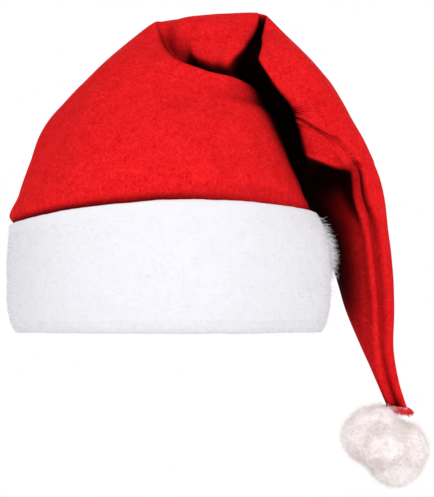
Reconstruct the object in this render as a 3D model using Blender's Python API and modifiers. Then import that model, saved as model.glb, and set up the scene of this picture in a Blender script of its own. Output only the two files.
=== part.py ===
"""Santa hat: a felt crown sewn from two panels, a folded plush band and a pompom.

Metres, +Z up. The origin is the middle of the head opening, level with the band's lower edge.
The wearer's left and right are +X and -X, and the front of the hat faces -Y.
The crown stands up over the head, folds over to +X and hangs down past the band as a long tail.
"""

import math
import random

import bmesh
import bpy
import numpy as np
from mathutils import Vector

# Driving dimensions
BAND_HALF_WIDTH = 0.1015
BAND_HALF_DEPTH = 0.0865
BAND_HEIGHT = 0.0785
BAND_CLOTH = 0.0026
FELT = 0.0012
GAP = 0.0003
POMPOM_CENTRE = (0.1378, 0.0190, -0.0715)

# The band's upper edge, where the crown is sewn in
SEAM_SIDE_DIP = 0.0075
SEAM_TILT = 0.0040
SEAM_INSET = 0.0048
SEAM_INSET_LEAN = 0.0040
HEM_DEPTH = 0.009

# Just above the seam the crown puffs out over the band's edge
PUFF_RISE = 0.0055
PUFF_INSET = 0.0008
PUFF_INSET_LEAN = 0.0024
PUFF_INSET_SIDES = 0.0020

# The crown's two side seams lie in a shallow groove
GROOVE_DEPTH = 0.0008
GROOVE_HALF_WIDTH = 0.0026

# Mesh density
FRONT_COLUMNS = 26
BACK_COLUMNS = 16
HEM_ROWS = 2
BAND_COLUMNS = 36
LOOP_STEPS = 360

# Columns crowd together where the cloth bends: a full turn counts as this much extra length
BEND_LENGTH = 0.004

# Wall directions are eased over this many steps of a loop, then so many times between neighbours
NORMAL_EASE = 4
NORMAL_EASE_PASSES = 2

# Each panel's edge stands back from the seam by this share of the gap
EDGE_CLEAR_SHARE = 1.0

# Each crown section is a closed loop through four points of the cloth: outer, front, inner and back.
# Outer runs from one side seam over the top to the tail's far edge. Inner runs from the other side
# seam into the folds and down the tail's near edge. Round a loop, 0 degrees is inner, 90 is front,
# 180 is outer and 270 is back. The front panel runs from near_deg to far_deg, the back panel from
# there on, and rows is how many mesh rows follow the section. Metres.
SECTION_COLUMNS = (
    "outer_x", "outer_y", "outer_z", "inner_x", "inner_y", "inner_z",
    "front_x", "front_y", "front_z", "back_x", "back_y", "back_z", "near_deg", "far_deg", "rows",
)
SECTIONS = {
    "flare": (-.0950, .000, .0845, .0850, .000, .0850, -.0020, -.082, .0930, -.005, .082, .0930, 0, 180, 2),
    "temple": (-.0875, .000, .1060, .0775, .000, .1040, -.0030, -.0775, .1110, -.005, .0785, .1100, 0, 180, 2),
    "brow": (-.0800, .000, .1265, .0705, .000, .1230, -.0020, -.068, .1290, -.005, .072, .1270, 0, 180, 2),
    "slope": (-.0640, .000, .1460, .0665, .000, .1340, .0000, -.057, .1450, .001, .064, .1430, 0, 180, 2),
    "peak": (-.0392, .000, .1712, .0625, -.001, .1415, .0050, -.046, .1570, .012, .053, .1600, -12, 184, 2),
    "lip": (-.0112, -.002, .1945, .0590, -.002, .1475, .0090, -.034, .1645, .021, .042, .1760, -28, 190, 2),
    "tuck": (-.0050, .000, .1962, .0572, .0025, .1510, .0125, -.018, .1640, .027, .037, .1800, -38, 196, 2),
    "facet_left": (.0100, .001, .1990, .0575, .007, .1535, .0165, -.019, .1770, .033, .034, .1815, -44, 200, 2),
    "facet": (.0300, .002, .2018, .0580, .0115, .1560, .0300, -.020, .1780, .040, .033, .1820, -46, 202, 2),
    "facet_edge": (.0535, .001, .2022, .0580, .016, .1580, .0465, -.021, .1735, .047, .033, .1815, -46, 204, 1),
    "pinch_left": (.0570, .002, .2015, .0575, .020, .1590, .0500, .008, .1760, .053, .034, .1800, -44, 206, 1),
    "pinch_right": (.0603, .002, .2010, .0570, .024, .1585, .0605, .008, .1750, .059, .035, .1780, -40, 206, 1),
    "corner": (.0640, .001, .1985, .0560, .028, .1555, .0578, -.021, .1760, .065, .037, .1740, -34, 206, 2),
    "shoulder": (.0802, .002, .1820, .0570, .0315, .1470, .0735, -.027, .1620, .074, .040, .1640, -12, 206, 2),
    "slide": (.1018, .004, .1570, .0630, .035, .1350, .0870, -.027, .1440, .084, .044, .1480, 34, 214, 2),
    "apron": (.1190, .008, .1300, .0710, .038, .1220, .0980, -.021, .1200, .094, .050, .1250, 95, 246, 2),
    "buckle": (.1302, .014, .1100, .0750, .041, .1100, .1020, -.015, .1060, .102, .053, .1100, 117, 270, 1),
    "brink": (.1310, .015, .1075, .0755, .0415, .1075, .1025, -.0125, .1025, .103, .053, .1075, 121, 274, 1),
    "nape": (.1347, .019, .0975, .0785, .043, .1000, .1080, .012, .1015, .107, .054, .0990, 121, 286, 1),
    "collar": (.1380, .021, .0850, .0850, .043, .0870, .1120, .011, .0870, .112, .054, .0860, 118, 288, 1),
    "hang": (.1402, .023, .0650, .0930, .043, .0670, .1190, .005, .0660, .117, .050, .0660, 115, 284, 1),
    "bulge": (.1430, .024, .0390, .1060, .033, .0385, .1250, .0065, .0385, .1245, .043, .0385, 114, 282, 1),
    "taper": (.1440, .024, .0140, .1130, .028, .0145, .1290, .0085, .0140, .1285, .039, .0140, 112, 284, 1),
    "neck": (.1435, .0235, -.0110, .1230, .024, -.0105, .1340, .011, -.0110, .1335, .034, -.0110, 101, 286, 1),
    "stem": (.1462, .021, -.0300, .1315, .021, -.0295, .1392, .0125, -.0300, .1390, .029, -.0300, 86, 280, 1),
    "tip": (.1515, .019, -.0500, .1405, .019, -.0490, .1462, .0150, -.0495, .1460, .023, -.0495, 76, 272, 1),
}

# Where a fold draws a section away from its plain loop: the cloth at that angle is pulled to the
# point, and the pull fades out over the spread on either side. Degrees and metres.
PULL_COLUMNS = ("section", "angle", "spread", "x", "y", "z")
PULLS = (
    ("lip", 140, 45, -.0068, -.0180, .1805),
    ("lip", 60, 45, .0300, -.0350, .1590),
    ("lip", 30, 40, .0500, -.0220, .1535),
    ("tuck", 140, 45, -.0010, -.0100, .1810),
    ("tuck", 60, 40, .0300, -.0090, .1500),
    ("tuck", 30, 40, .0480, -.0020, .1470),
    ("facet_left", 65, 35, .0185, -.0225, .1655),
    ("facet_left", 38, 35, .0340, -.0040, .1510),
    ("facet", 65, 35, .0285, -.0245, .1628),
    ("facet", 38, 35, .0400, -.0030, .1520),
    ("facet_edge", 135, 45, .0525, -.0110, .1890),
    ("facet_edge", 65, 35, .0385, -.0250, .1632),
    ("facet_edge", 38, 35, .0450, -.0020, .1545),
    ("pinch_left", 135, 45, .0555, .0050, .1890),
    ("pinch_left", 65, 40, .0480, .0120, .1650),
    ("pinch_left", 38, 40, .0520, .0150, .1590),
    ("pinch_right", 135, 45, .0605, .0050, .1880),
    ("pinch_right", 65, 40, .0620, .0120, .1660),
    ("pinch_right", 38, 40, .0620, .0160, .1610),
    ("corner", 135, 45, .0590, -.0110, .1870),
    ("corner", 65, 35, .0570, -.0265, .1665),
    ("corner", 38, 35, .0660, .0060, .1600),
    ("shoulder", 65, 35, .0665, -.0305, .1505),
    ("shoulder", 38, 35, .0740, .0060, .1500),
    ("slide", 65, 35, .0755, -.0300, .1390),
    ("slide", 38, 35, .0805, .0060, .1390),
    ("apron", 65, 35, .0800, -.0265, .1250),
    ("apron", 38, 35, .0850, .0090, .1250),
    ("buckle", 65, 35, .0835, -.0205, .1120),
    ("buckle", 38, 35, .0880, .0140, .1110),
    ("brink", 65, 35, .0850, -.0185, .1085),
    ("brink", 118, 25, .1150, -.0120, .1040),
    ("brink", 145, 30, .1265, -.0045, .1045),
    ("brink", 38, 35, .0890, .0150, .1080),
    ("nape", 65, 35, .0960, .0220, .1050),
    ("nape", 118, 30, .1170, -.0070, .1000),
    ("nape", 145, 40, .1290, -.0015, .0995),
    ("collar", 116, 30, .1200, -.0020, .0850),
    ("collar", 145, 40, .1330, .0035, .0860),
)

# Soft dents and swells of the crown: how far the cloth moves out, fading over the spread either side
DENT_COLUMNS = ("section", "angle", "spread", "out")
DENTS = (
    ("flare", 116, 20, .0008),
    ("temple", 118, 20, .0018),
    ("temple", 146, 26, -.0022),
    ("temple", 60, 30, -.0010),
    ("brow", 122, 22, .0022),
    ("brow", 148, 26, -.0026),
    ("brow", 72, 32, -.0010),
    ("slope", 126, 22, .0020),
    ("slope", 84, 40, -.0044),
    ("slope", 40, 26, .0010),
    ("peak", 100, 50, -.0024),
)

# The band's wall up its height: share of the height, how far the wall stands in from the oval, and
# how far its face and its lining are rounded in from there
BAND_PROFILE = (
    (0.000, 0.0036, 0.0034),
    (0.015, 0.0034, 0.0022),
    (0.043, 0.0030, 0.0012),
    (0.100, 0.0020, 0.0004),
    (0.200, 0.0010, 0.0000),
    (0.300, 0.0002, 0.0000),
    (0.650, 0.0000, 0.0000),
    (0.820, 0.0004, 0.0000),
    (0.975, 0.0000, 0.0000),
)
BAND_SLOT_FROM = 0.25
BAND_LEAN_FROM = 0.6
BAND_EDGE_ROUND = 0.0010
HEM_ROOM_OUTSIDE = 0.0010
HEM_ROOM_INSIDE = 0.0012

# Pompom: locks of plush on a lobed core
POMPOM_SEED = 12
POMPOM_LOCKS = 110
POMPOM_CORE_SHARE = 0.88
POMPOM_VOXEL = 0.0036
LOCK_BASE = 0.0058
LOCK_TIP = 0.0034
TIP_CUTTER_COLUMNS = 24
TIP_CUTTER_REACH = 0.05
TIP_ROOM = 0.0005
LOCK_LEAN = 0.28
LOCK_LENGTH_SHARE = (0.55, 0.68)
LOCK_REACH_SHARE = (0.95, 1.02)

# Each lobe's centre from the pompom's centre, and its radius: x, y, z, radius
LOBES = (
    (-0.0105, 0.0005, 0.0050, 0.0176),
    (-0.0010, 0.0005, 0.0100, 0.0166),
    (0.0085, -0.0010, -0.0030, 0.0186),
    (0.0060, -0.0010, -0.0090, 0.0180),
    (0.0000, -0.0055, 0.0000, 0.0190),
    (0.0000, 0.0060, 0.0000, 0.0190),
)

FELT_RED = (0.62, 0.008, 0.010, 1.0)
PLUSH_WHITE = (0.86, 0.85, 0.89, 1.0)
POMPOM_WHITE = (0.84, 0.80, 0.80, 1.0)


def clear_scene():
    for obj in list(bpy.data.objects):
        bpy.data.objects.remove(obj)


def new_collection(name, hidden=False):
    collection = bpy.data.collections.new(name)
    bpy.context.scene.collection.children.link(collection)
    collection.hide_render = hidden
    return collection


def new_material(name, colour, roughness):
    material = bpy.data.materials.new(name)
    material.use_nodes = True
    shader = material.node_tree.nodes["Principled BSDF"]
    shader.inputs["Base Color"].default_value = colour
    shader.inputs["Roughness"].default_value = roughness
    shader.inputs["Metallic"].default_value = 0.0
    material.diffuse_color = colour
    return material


def seam_height(angle):
    """Height of the band's upper edge. Two flat panels sewn to a tube dip at their side seams."""
    across = np.cos(angle)
    return BAND_HEIGHT - SEAM_SIDE_DIP * across**2 + SEAM_TILT * across


def seam_inset(angle):
    """How far the band leans in at its upper edge."""
    return SEAM_INSET + SEAM_INSET_LEAN * np.cos(angle)


def band_loop(angle, inset, height):
    """Points of the band's oval, moved in by inset, as an array of (x, y, z)."""
    x = (BAND_HALF_WIDTH - inset) * np.cos(angle)
    y = -(BAND_HALF_DEPTH - inset) * np.sin(angle)
    return np.stack([x, y, height + 0 * angle], axis=-1)


def band_face(angle, share, depth):
    """A loop at a share of the band's height, and at a depth into it from the wall's own line."""
    shares, insets, rounds = zip(*BAND_PROFILE)
    lean = np.clip((share - BAND_LEAN_FROM) / (1 - BAND_LEAN_FROM), 0, 1) ** 2
    inset = np.interp(share, shares, insets) + seam_inset(angle) * lean + depth
    return band_loop(angle, inset, share * seam_height(angle))


def hem_loop(angle, below_seam):
    """The crown's hem in the band's fold."""
    share = 1 - below_seam / seam_height(angle)
    return band_face(angle, share, BAND_CLOTH + HEM_ROOM_OUTSIDE)


def puff_loop(angle):
    """The crown just above the seam."""
    across = np.cos(angle)
    inset = seam_inset(angle) + PUFF_INSET + PUFF_INSET_LEAN * across + PUFF_INSET_SIDES * across**2
    return band_loop(angle, inset, seam_height(angle) + PUFF_RISE)


def section_value(name, column):
    return SECTIONS[name][SECTION_COLUMNS.index(column)]


def section_point(name, point):
    return np.array([section_value(name, f"{point}_{axis}") for axis in "xyz"])


def plain_loop(name, angle):
    """A smooth closed loop through a section's outer, front, inner and back points."""
    outer, inner = section_point(name, "outer"), section_point(name, "inner")
    front, back = section_point(name, "front"), section_point(name, "back")
    middle = (outer + inner + front + back) / 4
    across = (inner - outer) / 2
    through = (front - back) / 2
    egg = (outer + inner - front - back) / 4
    a = angle[:, None]
    return middle + across * np.cos(a) + through * np.sin(a) + egg * np.cos(2 * a)


def fade(turn, spread):
    """1 at no turn, falling smoothly to 0 at the spread."""
    off = np.abs((turn + math.pi) % (2 * math.pi) - math.pi) / spread
    return np.where(off < 1, (1 - off**2) ** 2, 0.0)


def dented_loop(name, angle):
    """A section's plain loop with its soft dents and swells."""
    loop = plain_loop(name, angle)
    middle = plain_loop(name, np.linspace(0, 2 * math.pi, LOOP_STEPS, endpoint=False)).mean(axis=0)
    out = unit(loop - middle)
    for dent in (dict(zip(DENT_COLUMNS, d)) for d in DENTS if d[0] == name):
        share = fade(angle - math.radians(dent["angle"]), math.radians(dent["spread"]))
        loop = loop + out * dent["out"] * share[:, None]
    return loop


def section_loop(name, angle):
    """A section's dented loop with its pulls, each of which passes through its own point."""
    loop = dented_loop(name, angle)
    pulls = [dict(zip(PULL_COLUMNS, p)) for p in PULLS if p[0] == name]
    if not pulls:
        return loop
    at = np.radians([p["angle"] for p in pulls])
    spread = np.radians([p["spread"] for p in pulls])
    target = np.array([[p["x"], p["y"], p["z"]] for p in pulls])
    share = fade(at[:, None] - at[None, :], spread[None, :])
    strength = np.linalg.solve(share, target - dented_loop(name, at))
    return loop + fade(angle[:, None] - at[None, :], spread[None, :]) @ strength


def key_loops(angle):
    """The crown's key loops from its hem to its tip."""
    loops = [hem_loop(angle, HEM_DEPTH), hem_loop(angle, 0.0), puff_loop(angle)]
    return loops + [section_loop(name, angle) for name in SECTIONS]


def key_seams():
    """The angles of the near and far seam on each key loop, as rows of two points."""
    start = [(0.0, 180.0)] * 3
    rest = [(section_value(name, "near_deg"), section_value(name, "far_deg")) for name in SECTIONS]
    return np.radians(start + rest)


def crown_loops(angle):
    """Smooth loops from the hem to the tip with the seams' angles, as many as the table asks for."""
    counts = [1, 1, 1] + [section_value(name, "rows") for name in SECTIONS]
    keys = [np.concatenate([loop, 0 * loop[:, :2] + seam], axis=1)
            for loop, seam in zip(key_loops(angle), key_seams())]
    rows = smooth_rows(keys, counts)
    return rows[:, :, :3], rows[:, 0, 3:]


def folded_columns(line, columns):
    """Points along a line, closer where it bends, and one groove's width in from each end."""
    step = np.linalg.norm(np.diff(line[:, :3], axis=0), axis=1)
    heading = unit(np.gradient(line[:, :3], axis=0))
    bend = np.linalg.norm(np.diff(heading, axis=0), axis=1)
    along = np.concatenate([[0], np.cumsum(step + bend * BEND_LENGTH)])
    edge = min(GROOVE_HALF_WIDTH, along[-1] / columns)
    inner = np.linspace(edge, along[-1] - edge, columns - 1)
    wanted = np.concatenate([[0], inner, [along[-1]]])
    return np.stack([np.interp(wanted, along, values) for values in line.T], axis=-1)


def smooth_rows(keys, counts):
    """Catmull-Rom rows through the key rows, in so many steps from each key to the next."""
    count = len(keys)
    lengths = [np.linalg.norm((keys[i + 1] - keys[i])[:, :3], axis=1).mean() for i in range(count - 1)]
    knots = np.concatenate([[0], np.cumsum(np.sqrt(lengths))])
    pace = [(keys[i + 1] - keys[i]) / (knots[i + 1] - knots[i]) for i in range(count - 1)]
    slopes = [pace[0]]
    for i in range(1, count - 1):
        share = (knots[i] - knots[i - 1]) / (knots[i + 1] - knots[i - 1])
        slopes.append(pace[i - 1] * (1 - share) + pace[i] * share)
    slopes.append(pace[-1])
    rows = []
    for i in range(count - 1):
        span = knots[i + 1] - knots[i]
        for step in range(counts[i]):
            t = step / counts[i]
            start, leave = 2 * t**3 - 3 * t**2 + 1, t**3 - 2 * t**2 + t
            end, arrive = -2 * t**3 + 3 * t**2, t**3 - t**2
            bend = leave * slopes[i] + arrive * slopes[i + 1]
            rows.append(start * keys[i] + end * keys[i + 1] + span * bend)
    rows.append(keys[-1])
    return np.array(rows)


def unit(vectors):
    return vectors / np.linalg.norm(vectors, axis=-1, keepdims=True)


def loop_normals(loops):
    """Outward unit normals of the crown, eased over a few degrees so that both panels share them."""
    across = np.roll(loops, -NORMAL_EASE, axis=1) - np.roll(loops, NORMAL_EASE, axis=1)
    along = np.gradient(loops, axis=0)
    return unit(np.cross(along, across))


def part_loop(line, start, end):
    """The part of a closed line of points from one angle to another, finely stepped."""
    angle = np.linspace(0, 2 * math.pi, LOOP_STEPS, endpoint=False)
    wanted = np.linspace(start, end, LOOP_STEPS)
    columns = [np.interp(wanted, angle, values, period=2 * math.pi) for values in line.T]
    return np.stack(columns, axis=-1)


def panel_rows(front, columns):
    """Rows of points up the front or back panel of the crown, and the outward normals there.

    Both edges are drawn in by half the gap between the panels, and down into the seam's groove.
    """
    angle = np.linspace(0, 2 * math.pi, LOOP_STEPS, endpoint=False)
    loops, seams = crown_loops(angle)
    if not front:
        seams = np.stack([seams[:, 1], seams[:, 0] + 2 * math.pi], axis=-1)
    lines = np.concatenate([loops, loop_normals(loops)], axis=-1)
    rows = [folded_columns(part_loop(line, *ends), columns) for line, ends in zip(lines, seams)]
    rows = np.array(rows)
    points, shared = rows[:, :, :3], unit(rows[:, :, 3:])
    normal = unit(np.cross(np.gradient(points, axis=0), np.gradient(points, axis=1)))
    for _ in range(NORMAL_EASE_PASSES):
        normal[:, 0], normal[:, -1] = shared[:, 0], shared[:, -1]
        normal[1:-1] = unit(normal[:-2] + 2 * normal[1:-1] + normal[2:])
        normal[:, 1:-1] = unit(normal[:, :-2] + 2 * normal[:, 1:-1] + normal[:, 2:])
    sewn = np.clip((np.arange(len(rows)) - HEM_ROWS) / HEM_ROWS, 0, 1)[:, None]
    for edge, beside in ((0, 1), (-1, -2)):
        clear = unit(points[:, beside] - points[:, edge])
        points[:, edge] += clear * GAP * EDGE_CLEAR_SHARE - normal[:, edge] * GROOVE_DEPTH * sewn
    return points, normal


def grid_mesh(name, rows, closed=False):
    """A sheet of quads through rows of points, joined round where it is closed."""
    high, wide = rows.shape[:2]
    mesh = bpy.data.meshes.new(name)
    quads = []
    for i in range(high - 1):
        for j in range(wide if closed else wide - 1):
            left, right = i * wide + j, i * wide + (j + 1) % wide
            quads.append((left, left + wide, right + wide, right))
    mesh.from_pydata(rows.reshape(-1, 3).tolist(), [], quads)
    mesh.update()
    return mesh


def add_object(name, mesh, material, collection):
    obj = bpy.data.objects.new(name, mesh)
    collection.objects.link(obj)
    mesh.materials.append(material)
    mesh.shade_smooth()
    return obj


def split_quads(points):
    """Triangles over a grid of points, each quad split along its shorter diagonal."""
    high, wide = points.shape[:2]
    triangles = []
    for i in range(high - 1):
        for j in range(wide - 1):
            low, high_left = i * wide + j, (i + 1) * wide + j
            rising = np.linalg.norm(points[i + 1, j + 1] - points[i, j])
            falling = np.linalg.norm(points[i, j + 1] - points[i + 1, j])
            if rising < falling:
                triangles += [(low, high_left, high_left + 1), (low, high_left + 1, low + 1)]
            else:
                triangles += [(low, high_left, low + 1), (low + 1, high_left, high_left + 1)]
    return triangles


def grid_border(high, wide):
    """Indices round the border of a grid."""
    first = list(range(wide))
    right = [i * wide + wide - 1 for i in range(1, high)]
    last = [(high - 1) * wide + j for j in range(wide - 2, -1, -1)]
    left = [i * wide for i in range(high - 2, 0, -1)]
    return first + right + last + left


def build_crown_panel(name, front, columns, material, collection):
    """One felt panel: its outer face, the same face a wall's thickness in, and the edge between."""
    points, normal = panel_rows(front, columns)
    high, wide = points.shape[:2]
    inside = points - normal * FELT
    count = high * wide
    faces = split_quads(points)
    faces += [(c + count, b + count, a + count) for a, b, c in faces]
    border = grid_border(high, wide)
    for a, b in zip(border, border[1:] + border[:1]):
        faces.append((a, b, b + count, a + count))
    mesh = bpy.data.meshes.new(name)
    mesh.from_pydata(np.concatenate([points, inside]).reshape(-1, 3).tolist(), [], faces)
    mesh.update()
    return add_object(name, mesh, material, collection)


def build_band(material, collection):
    """A strip folded double at the bottom, open at the top where the crown's hem goes in."""
    angle = np.linspace(0, 2 * math.pi, BAND_COLUMNS, endpoint=False)
    slot_rows = [share for share, inset, rounding in BAND_PROFILE if share > BAND_SLOT_FROM]
    slot = HEM_ROOM_OUTSIDE + FELT + HEM_ROOM_INSIDE
    width = 2 * BAND_CLOTH + slot
    edge_depths = (BAND_EDGE_ROUND, BAND_CLOTH - BAND_EDGE_ROUND / 2)
    rows = [band_face(angle, share, rounding) for share, inset, rounding in BAND_PROFILE]
    rows += [band_face(angle, 1, depth) for depth in edge_depths]
    rows += [band_face(angle, share, BAND_CLOTH) for share in reversed(slot_rows)]
    rows += [band_face(angle, share, BAND_CLOTH + slot) for share in slot_rows]
    rows += [band_face(angle, 1, width - depth) for depth in reversed(edge_depths)]
    rows += [band_face(angle, share, width - rounding) for share, inset, rounding in reversed(BAND_PROFILE)]
    mesh = grid_mesh("band", np.array(rows + rows[:1]), closed=True)
    shape = bmesh.new()
    shape.from_mesh(mesh)
    bmesh.ops.remove_doubles(shape, verts=shape.verts, dist=0.00001)
    bmesh.ops.recalc_face_normals(shape, faces=shape.faces)
    shape.to_mesh(mesh)
    shape.free()
    return add_object("band", mesh, material, collection)


def sphere_directions(count):
    """Evenly spread unit vectors on a spiral round a sphere."""
    turn = math.pi * (3 - math.sqrt(5))
    for i in range(count):
        z = 1 - (2 * i + 1) / count
        flat = math.sqrt(1 - z * z)
        yield Vector((flat * math.cos(turn * i), flat * math.sin(turn * i), z))


def lobed_reach(direction):
    """Distance from the pompom's centre to the farther of its lobes' surfaces."""
    reach = 0.0
    for lobe in LOBES:
        x, y, z, radius = lobe
        centre = Vector((x, y, z))
        along = centre.dot(direction)
        inside = radius**2 - centre.length_squared + along**2
        reach = max(reach, along + math.sqrt(inside))
    return reach


def add_lock(shape, direction, reach, draw):
    """One tapering lock of plush from inside the core out to its blunt tip."""
    lean = Vector((draw.uniform(-1, 1), draw.uniform(-1, 1), draw.uniform(-1, 1))) * LOCK_LEAN
    outward = (direction + lean).normalized()
    length = reach * draw.uniform(*LOCK_LENGTH_SHARE)
    turn = outward.to_track_quat("Z", "Y").to_matrix().to_4x4()
    made = bmesh.ops.create_cone(
        shape, cap_ends=True, segments=8, radius1=LOCK_BASE, radius2=LOCK_TIP, depth=length,
    )
    made_verts = made["verts"]
    middle = direction * reach - outward * length / 2
    bmesh.ops.rotate(shape, verts=made_verts, cent=(0, 0, 0), matrix=turn)
    bmesh.ops.translate(shape, verts=made_verts, vec=middle)


def build_tip_cutter(collection):
    """The tail's tip with a gap round it, to seat it in the pompom."""
    angle = np.linspace(0, 2 * math.pi, TIP_CUTTER_COLUMNS, endpoint=False)
    rows = crown_loops(angle)[0][-3:]
    end = rows[-1] + (rows[-1] - rows[-2]) * TIP_CUTTER_REACH
    rows = np.concatenate([rows, [end]])
    outward = rows - rows.mean(axis=1, keepdims=True)
    rows += outward / np.linalg.norm(outward, axis=-1, keepdims=True) * TIP_ROOM
    mesh = grid_mesh("tip_cutter", rows, closed=True)
    shape = bmesh.new()
    shape.from_mesh(mesh)
    bmesh.ops.holes_fill(shape, edges=shape.edges)
    bmesh.ops.recalc_face_normals(shape, faces=shape.faces)
    shape.to_mesh(mesh)
    shape.free()
    obj = bpy.data.objects.new("tip_cutter", mesh)
    collection.objects.link(obj)
    obj.display_type = "WIRE"
    obj.hide_render = True
    return obj


def build_pompom(material, collection, cutters):
    """A core with locks of plush fused to it, and a seat for the tail's tip."""
    draw = random.Random(POMPOM_SEED)
    mesh = bpy.data.meshes.new("pompom")
    shape = bmesh.new()
    for x, y, z, radius in LOBES:
        core = bmesh.ops.create_icosphere(shape, subdivisions=3, radius=radius * POMPOM_CORE_SHARE)
        bmesh.ops.translate(shape, verts=core["verts"], vec=(x, y, z))
    for direction in sphere_directions(POMPOM_LOCKS):
        add_lock(shape, direction, lobed_reach(direction) * draw.uniform(*LOCK_REACH_SHARE), draw)
    shape.to_mesh(mesh)
    shape.free()
    obj = add_object("pompom", mesh, material, collection)
    obj.location = POMPOM_CENTRE
    fuse = obj.modifiers.new("fuse", "REMESH")
    fuse.mode = "VOXEL"
    fuse.voxel_size = POMPOM_VOXEL
    fuse.use_smooth_shade = True
    seat = obj.modifiers.new("tip_seat", "BOOLEAN")
    seat.operation = "DIFFERENCE"
    seat.object = build_tip_cutter(cutters)
    return obj


def main():
    clear_scene()
    hat = new_collection("santa_hat")
    cutters = new_collection("cutters", hidden=True)
    felt = new_material("red_felt", FELT_RED, 0.9)
    plush = new_material("white_plush", PLUSH_WHITE, 0.95)
    wool = new_material("pompom_plush", POMPOM_WHITE, 0.95)
    build_crown_panel("crown_front", True, FRONT_COLUMNS, felt, hat)
    build_crown_panel("crown_back", False, BACK_COLUMNS, felt, hat)
    build_band(plush, hat)
    build_pompom(wool, hat, cutters)


main()
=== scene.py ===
"""Santa hat, dressed for the render: felt crown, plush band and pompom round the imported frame.

Metres, +Z up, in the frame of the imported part. The crown's tables and functions are those of the
part's own source, evaluated finely here, with the seams, the softness of the cloth, its materials
and the loose fibres added.
"""

import math

import bmesh
import bpy
import numpy as np
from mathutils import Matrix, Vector, noise


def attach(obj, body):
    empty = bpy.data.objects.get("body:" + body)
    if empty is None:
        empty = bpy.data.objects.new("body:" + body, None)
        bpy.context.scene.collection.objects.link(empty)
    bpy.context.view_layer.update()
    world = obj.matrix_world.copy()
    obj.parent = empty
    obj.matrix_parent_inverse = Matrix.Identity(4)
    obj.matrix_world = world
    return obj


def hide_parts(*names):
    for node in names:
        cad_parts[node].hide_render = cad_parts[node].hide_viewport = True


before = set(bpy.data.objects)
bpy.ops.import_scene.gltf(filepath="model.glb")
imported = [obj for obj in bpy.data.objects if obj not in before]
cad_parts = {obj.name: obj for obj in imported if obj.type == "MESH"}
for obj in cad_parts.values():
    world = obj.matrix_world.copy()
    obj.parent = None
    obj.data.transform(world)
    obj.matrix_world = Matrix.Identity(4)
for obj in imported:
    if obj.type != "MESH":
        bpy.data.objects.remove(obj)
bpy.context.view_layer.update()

# Driving dimensions
BAND_HALF_WIDTH = 0.1015
BAND_HALF_DEPTH = 0.0865
BAND_HEIGHT = 0.0785
BAND_CLOTH = 0.0026
FELT = 0.0012
POMPOM_CENTRE = (0.1378, 0.0190, -0.0715)

# The band's upper edge, where the crown is sewn in
SEAM_SIDE_DIP = 0.0075
SEAM_TILT = 0.0040
SEAM_INSET = 0.0048
SEAM_INSET_LEAN = 0.0040
HEM_DEPTH = 0.009

# Just above the seam the crown puffs out over the band's edge
PUFF_RISE = 0.0055
PUFF_INSET = 0.0008
PUFF_INSET_LEAN = 0.0024
PUFF_INSET_SIDES = 0.0020

# The crown's two side seams lie in a shallow groove, and a column of points lies on each side of it
GROOVE_HALF_WIDTH = 0.0026

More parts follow.
